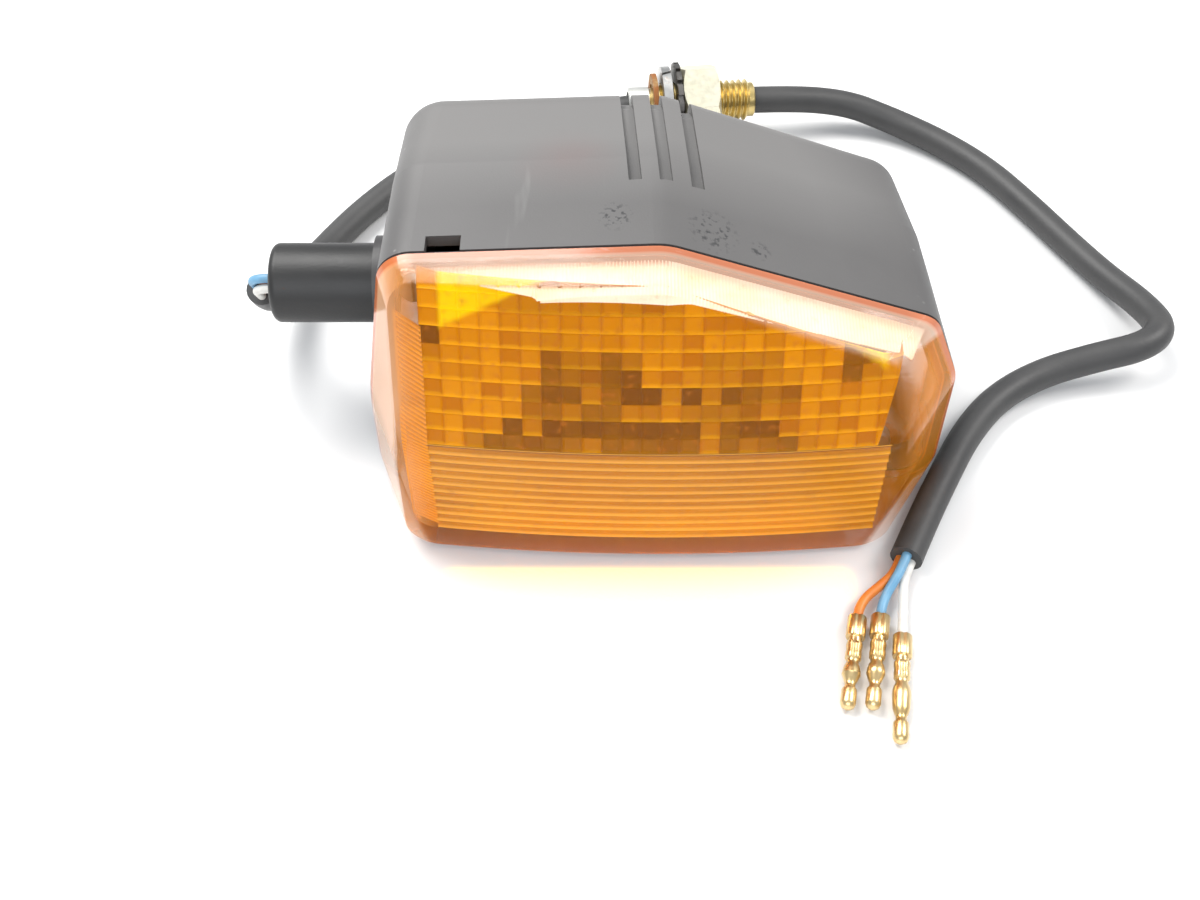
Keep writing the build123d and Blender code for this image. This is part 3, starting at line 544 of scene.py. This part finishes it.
# painted reflection: the cream and pale colours of the top ribs stand in for the bright light above
# reflected in the top of the lens
ribPale = amberFlutes("amberRibs", (0.84, 0.74, 0.62), (0.86, 0.62, 0.42), (0.88, 0.42, 0.12), 0.16)
ribSheets = (  # name, corner, width, columns, trims
    ("lensRibsLeft", (-47.0, -39.2, 90), 46.8, 76,
     [((0, -35.2, 90), (-0.03, -1, 0)), ((-22, -34.5, 90), (-0.29, -1, 0)),
      ((-45.2, -33.0, 90), (-1, -0.45, 0))]),
    ("lensRibsRight", (-0.2, -39.2, 90), 48.0, 78,
     [((0, -35.2, 90), (0.026, -1, 0)), ((43.4, -37.0, 90), (1, -0.45, 0))]),
)
for name, corner, width, columns, trims in ribSheets:
    ribs = onLens(
        name, corner, (width, 0, 0), (0, 12.0, 0), columns * 2, 5, "-z", (0, 0, -optics["wall"]), trims)
    step = width * mm / columns / 2
    bpy.ops.object.mode_set(mode="EDIT")
    chosen(ribs, lambda v: round((v.co.x - corner[0] * mm) / step) % 2 == 1)
    bpy.ops.transform.translate(value=(0, 0, -optics["ribDeep"] * mm))
    bpy.ops.object.mode_set(mode="OBJECT")
    solid(ribs, name, ribPale, optics["sheet"], 0)

# fine slanted lines down the left edge of the face
slantCorner = (-48.6, -70, 7.4)
slantIn = 0.2
slant = onLens(
    "slant", slantCorner, (optics["slantWide"], 0, -optics["slantFall"]),
    (0, 0, optics["slantPitch"] * optics["slantRows"]), 2, optics["slantRows"] * 2, "+y",
    (slantIn, optics["wall"], 0),
)
slantSlope = optics["slantFall"] / optics["slantWide"]


def slantRow(point):
    height = point.z - slantCorner[2] * mm + (point.x - (slantCorner[0] + slantIn) * mm) * slantSlope
    return round(height / (optics["slantPitch"] * mm / 2))


bpy.ops.object.mode_set(mode="EDIT")
chosen(slant, lambda v: slantRow(v.co) % 2 == 1)
bpy.ops.transform.translate(value=(0, 0.0003, 0))
bpy.ops.object.mode_set(mode="OBJECT")
slantAmber = amberFlutes(
    "amberSlant", (0.80, 0.36, 0.03), (0.66, 0.23, 0.01), (0.34, 0.11, 0.03), 0.14, slanted=True)
solid(slant, "lensSlantLines", slantAmber, optics["sheet"], 0)
print("optics in the lens")

# faint amber light on the floor in front of the lens
floorGlow = {"wide": 78, "deep": 5, "at": (-2.5, -53.0, 2.6), "energy": 0.010, "color": (1.0, 0.50, 0.0)}
bpy.ops.object.light_add(type="AREA", location=[v * mm for v in floorGlow["at"]])
lamp = bpy.context.object
lamp.name = "lensGlow"
lamp.data.shape = "RECTANGLE"
lamp.data.size, lamp.data.size_y = floorGlow["wide"] * mm, floorGlow["deep"] * mm
lamp.data.energy, lamp.data.color = floorGlow["energy"], floorGlow["color"]
lamp.data.spread = 1.6

# ---- threaded stud ----
studLook = {
    "start": (-4.75, 84.0, 10.1), "end": (26.45, 87.0, 10.1), "bore": 3.6, "pilot": 4.6, "pilotLong": 5.5,
    "crest": 5.0, "root": 4.15, "pitch": 1.5,
}
studStart, studEnd = Vector(studLook["start"]) * mm, Vector(studLook["end"]) * mm
studWay = (studEnd - studStart).normalized()
studLong = (studEnd - studStart).length / mm


def threadedStud():
    look = studLook
    pilot, pilotLong, root, crest = look["pilot"], look["pilotLong"], look["root"], look["crest"]
    profile = [
        (look["bore"], 0), (pilot - 0.25, 0), (pilot, 0.25), (pilot, pilotLong - 0.5),
        (root, pilotLong - 0.1),
    ]
    along = pilotLong + 0.35
    while along < studLong - 1.6:
        profile += [(root, along), (crest, along + 0.55), (crest, along + 0.75), (root, along + 1.3)]
        along += look["pitch"]
    profile += [(root, studLong - 0.3), (look["bore"] + 0.15, studLong), (look["bore"], studLong - 0.15)]
    piece = lathe(profile, studStart, studWay, 72)
    up = Vector((0, 0, 1))
    for vertex in piece.data.vertices:  # every turn leans as a helix does
        out = vertex.co - studStart
        far = out.dot(studWay) / mm
        radial = out - studWay * out.dot(studWay)
        if pilotLong + 0.2 < far < studLong - 0.5 and radial.length > 0.0039:
            vertex.co += studWay * (radial.normalized().dot(up) * look["pitch"] / 4 * mm)
    return piece


def studZinc():
    made = Finish("studZinc")
    cloud = made.noise(160, 5.0)
    fine = made.noise(900, 3.0)
    pilot = ((0.0009 - made.x) * 2000).clamped()
    base = made.blend(((cloud - 0.3) * 2).clamped(), (0.56, 0.42, 0.16), (0.85, 0.70, 0.34))
    base = made.blend(pilot, base, (0.80, 0.80, 0.76))
    spots = ((made.noise(260, 5.0, 0.7) - 0.62) * 9).clamped()
    base = made.blend(spots * 0.7, base, (0.24, 0.15, 0.07))
    made.put("Base Color", base)
    made.put("Metallic", (1 - spots * 0.5).clamped())
    made.put("Roughness", (0.26 + fine * 0.16 + spots * 0.35 + pilot * 0.1).clamped())
    made.put("Normal", made.bump(fine + spots, 0.00008, 0.5))
    return made.material


stud = finished(threadedStud(), "threadedStud", "housing", "yellow_zinc", studZinc(), 25)
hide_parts("hollow_stud")
print("stud cut")


# ---- bullet terminals ----
bulletLook = {"crimp": 1.85, "body": 1.7, "steps": 40, "seam": 0.35}
bullets = {
    "orange": ((37.2, -62.4, 2.0), (33.2, -82.0, 1.75)),
    "blue": ((41.6, -62.2, 2.1), (37.8, -82.0, 1.75)),
    "white": ((45.2, -66.6, 2.1), (42.0, -89.0, 1.75)),
}


def bulletTerminal(root, tip):
    # insulation crimp, wire crimp, neck, bulged body, groove and round nose, hollow at the wire's end
    root, tip = Vector(root) * mm, Vector(tip) * mm
    way = (tip - root).normalized()
    long = (tip - root).length / mm
    crimp, body = bulletLook["crimp"], bulletLook["body"]
    profile = [
        (0.0, 3.6), (1.02, 3.6), (1.02, 0.0), (crimp - 0.12, 0.0), (crimp, 0.15), (crimp, 4.3),
        (crimp - 0.1, 4.6), (1.25, 4.75), (1.2, 5.7), (1.5, 5.9), (1.55, 6.6), (1.42, 7.4), (1.55, 8.2),
        (1.5, 9.3), (1.2, 9.6), (1.15, 10.4), (1.45, 10.9), (body, 12.0), (body + 0.05, 12.8),
        (body - 0.12, long - 7.0), (1.25, long - 5.9), (1.0, long - 5.5), (1.0, long - 4.6),
        (1.38, long - 4.1), (1.45, long - 3.8), (1.45, long - 1.1), (1.2, long - 0.45), (0.7, long - 0.1),
        (0.0, long),
    ]
    piece = lathe(profile, root, way, bulletLook["steps"])
    up = (Vector((0, 0, 1)) - way * way.z).normalized()
    side = way.cross(up)
    for vertex in piece.data.vertices:  # the two tongues of each crimp roll in to a seam along the top
        out = vertex.co - root
        far = out.dot(way) / mm
        radial = out - way * out.dot(way)
        if radial.length < 0.0011 or radial.dot(up) <= 0:
            continue
        lean = abs(radial.dot(side)) / radial.length
        if far < 4.65:
            vertex.co -= up * bulletLook["seam"] * mm * max(0.0, 1 - lean / 0.35)
        elif 5.8 < far < 9.4:
            vertex.co -= up * (bulletLook["seam"] * 0.8) * mm * max(0.0, 1 - lean / 0.45)
    return piece


for color, (root, tip) in bullets.items():
    made = bulletTerminal(root, tip)
    finished(made, "bulletTerminal" + color.capitalize(), "housing", "brass", None, 40)
    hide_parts("bullet_" + color)
    bullets[color] = made
print("bullets pressed")

# ---- cord: one sleeve in two halves that meet inside the stud ----
rearRoute = [
    (-81.6, 3.52, 24.656), (-82.0, 8.4, 17.3), (-81.3, 17.8, 10.2), (-78.8, 29, 5.8), (-74.3, 41, 4.0),
    (-67, 54, 3.5), (-57, 66.5, 3.4), (-43.5, 74.6, 3.4), (-27.2, 79.3, 4.2), (-9.6, 83.534, 10.1),
    (9, 85.322, 10.1),
]
frontRoute = [
    (9, 85.322, 10.1), (29, 87.245, 10.1), (49, 90.2, 7.2), (61.5, 86.4, 4.2), (73, 78.5, 3.4),
    (82.6, 68, 3.4), (90, 55.5, 3.4), (97.5, 41, 3.4), (103.4, 29.5, 3.9), (108.6, 18.6, 6),
    (110.8, 8.6, 8.2), (105.6, 3.2, 8.2), (95, 1.6, 6.4), (83, -1, 4.2), (72.5, -7.5, 3.4),
    (64.5, -17.5, 3.4), (58.2, -29, 3.4), (52.2, -40.5, 3.4), (47.9, -49.5, 3.4),
]


def cordCurve(name, route, radius):
    curve = bpy.data.curves.new(name, "CURVE")
    curve.dimensions = "3D"
    spline = curve.splines.new("NURBS")
    spline.points.add(len(route) - 1)
    for point, at in zip(spline.points, route):
        point.co = (*(value * mm for value in at), 1.0)
    spline.order_u = 3
    spline.use_endpoint_u = True
    spline.resolution_u = 12
    curve.bevel_depth = radius * mm
    curve.bevel_resolution = 8
    curve.use_fill_caps = True
    piece = bpy.data.objects.new(name, curve)
    bpy.context.collection.objects.link(piece)
    return piece


cordLook = {"radius": 3.25}
rearSleeve = cordCurve("rearSleeve", rearRoute, cordLook["radius"])
frontSleeve = cordCurve("frontSleeve", frontRoute, cordLook["radius"])
for sleeve, node in ((rearSleeve, "cord_sleeve_rear"), (frontSleeve, "cord_sleeve_front")):
    sleeve.data.materials.append(finishes["sleeve_vinyl"])
    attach(sleeve, "housing")
    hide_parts(node)
print("cord laid")
